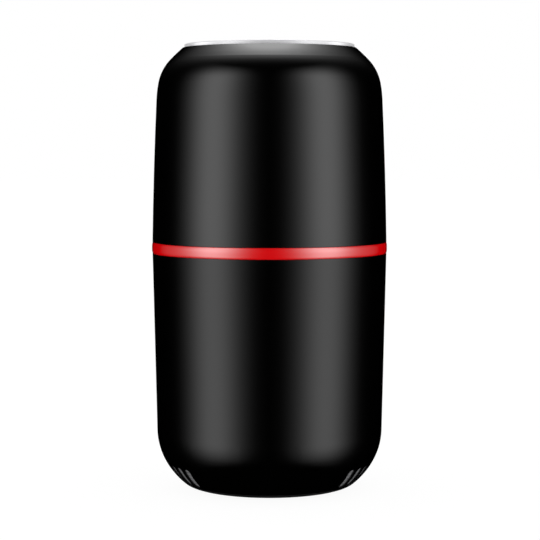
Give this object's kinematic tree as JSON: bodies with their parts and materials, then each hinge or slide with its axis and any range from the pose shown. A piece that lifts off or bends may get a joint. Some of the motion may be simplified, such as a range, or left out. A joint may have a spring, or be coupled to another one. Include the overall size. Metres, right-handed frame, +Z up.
{
  "type": "electric spice grinder",
  "caption": "Upright one-touch electric spice grinder: black lift-off lid with a silver push-button top, red trim ring, steel grinding bowl and blade on a motor base.",
  "frame": {"origin": "centre of the feet's underside, on the grinder's axis", "axes": "+Z up along the axis through blade, bowl and button; -Y is the front; +Y is the back, where the cord enters"},
  "size_m": [0.0914, 0.0914, 0.1723],
  "materials": {
    "black_gloss": "high gloss black",
    "black_plastic": "fine matt black",
    "red_trim": "high gloss red",
    "silver_cap": "polished satin",
    "screen_grey": "matt grey",
    "steel": "brushed stainless",
    "blade_steel": "ground stainless",
    "screw_steel": "zinc plated",
    "lamination": "varnished electrical steel",
    "zinc": "as cast",
    "copper": "enamelled copper wire",
    "commutator": "turned copper",
    "carbon": "carbon",
    "clear": "clear",
    "white_plastic": "natural nylon",
    "rubber": "black rubber",
    "seal": "grey silicone",
    "terminal": "tinned brass"
  },
  "bodies": {
    "base": {"base_shell": "black_gloss", "vent_screen_right": "screen_grey", "vent_screen_left": "screen_grey", "bottom_cover": "black_plastic", "bottom_screws": "screw_steel", "rubber_feet": "rubber", "trim_ring": "red_trim", "bowl_housing": "black_plastic", "grinding_bowl": "steel", "bowl_clamp_bush": "steel", "shaft_seal": "seal", "bowl_clamp_nut": "screw_steel", "motor_dampers": "rubber", "motor_mount_screws": "screw_steel", "upper_bracket": "zinc", "lower_bracket": "zinc", "upper_bearing": "steel", "lower_bearing": "steel", "stator_core": "lamination", "field_coil_right": "copper", "field_coil_left": "copper", "motor_screws": "screw_steel", "brush_holder_right": "terminal", "brush_holder_left": "terminal", "carbon_brush_right": "carbon", "carbon_brush_left": "carbon", "brush_spring_right": "screw_steel", "brush_spring_left": "screw_steel", "cord_grommet": "rubber", "switch_bracket": "zinc", "bracket_screws": "screw_steel", "microswitch": "black_plastic", "switch_terminals": "terminal", "switch_screws": "screw_steel", "lever_pin": "steel", "plunger_spring": "screw_steel"},
    "rotor": {"motor_shaft": "steel", "armature_core": "lamination", "armature_winding": "copper", "commutator": "commutator", "cooling_fan": "black_plastic", "blade_hub": "black_plastic", "grinding_blade": "blade_steel", "blade_nut": "steel"},
    "lid": {"lid_shell": "black_gloss", "lid_liner": "clear", "lid_seal": "seal", "button_base": "black_plastic", "lid_screws": "screw_steel", "button_spring_left": "screw_steel", "button_spring_right": "screw_steel", "button_spring_back": "screw_steel"},
    "button": {"button_cap": "silver_cap", "button_carrier": "black_plastic", "push_rod": "white_plastic"},
    "plunger": {"switch_plunger": "white_plastic"},
    "switch_lever": {"switch_lever": "steel"},
    "switch_button": {"switch_button": "white_plastic"}
  },
  "joints": [
    {"name": "lid_lift", "type": "slide", "parent": "base", "child": "lid", "axis": [0, 0, 1], "range_m": [0, 0.1]},
    {"name": "button_press", "type": "slide", "parent": "lid", "child": "button", "axis": [0, 0, -1], "range_m": [0, 0.0025], "stiffness_N_per_m": 600, "springref_m": -0.006, "deforming": ["button_spring_left", "button_spring_right", "button_spring_back"]},
    {"name": "plunger_slide", "type": "slide", "parent": "base", "child": "plunger", "axis": [0, 0, -1], "range_m": [0, 0.0025], "deforming": ["plunger_spring"]},
    {"name": "switch_lever_turn", "type": "hinge", "parent": "base", "child": "switch_lever", "pos_m": [-0.0085, 0.0372, 0.0479], "axis": [0, 1, 0], "range_deg": [0, 15.5]},
    {"name": "switch_button_slide", "type": "slide", "parent": "base", "child": "switch_button", "axis": [0, 0, -1], "range_m": [0, 0.0008]},
    {"name": "rotor_spin", "type": "hinge", "parent": "base", "child": "rotor", "pos_m": [0, 0, 0], "axis": [0, 0, 1], "continuous": true}
  ],
  "couplings": [
    {"joint": "plunger_slide", "follows": "button_press", "ratio": 1},
    {"joint": "switch_lever_turn", "follows": "button_press", "rad_per_m": 108},
    {"joint": "switch_button_slide", "follows": "button_press", "ratio": 0.31}
  ]
}
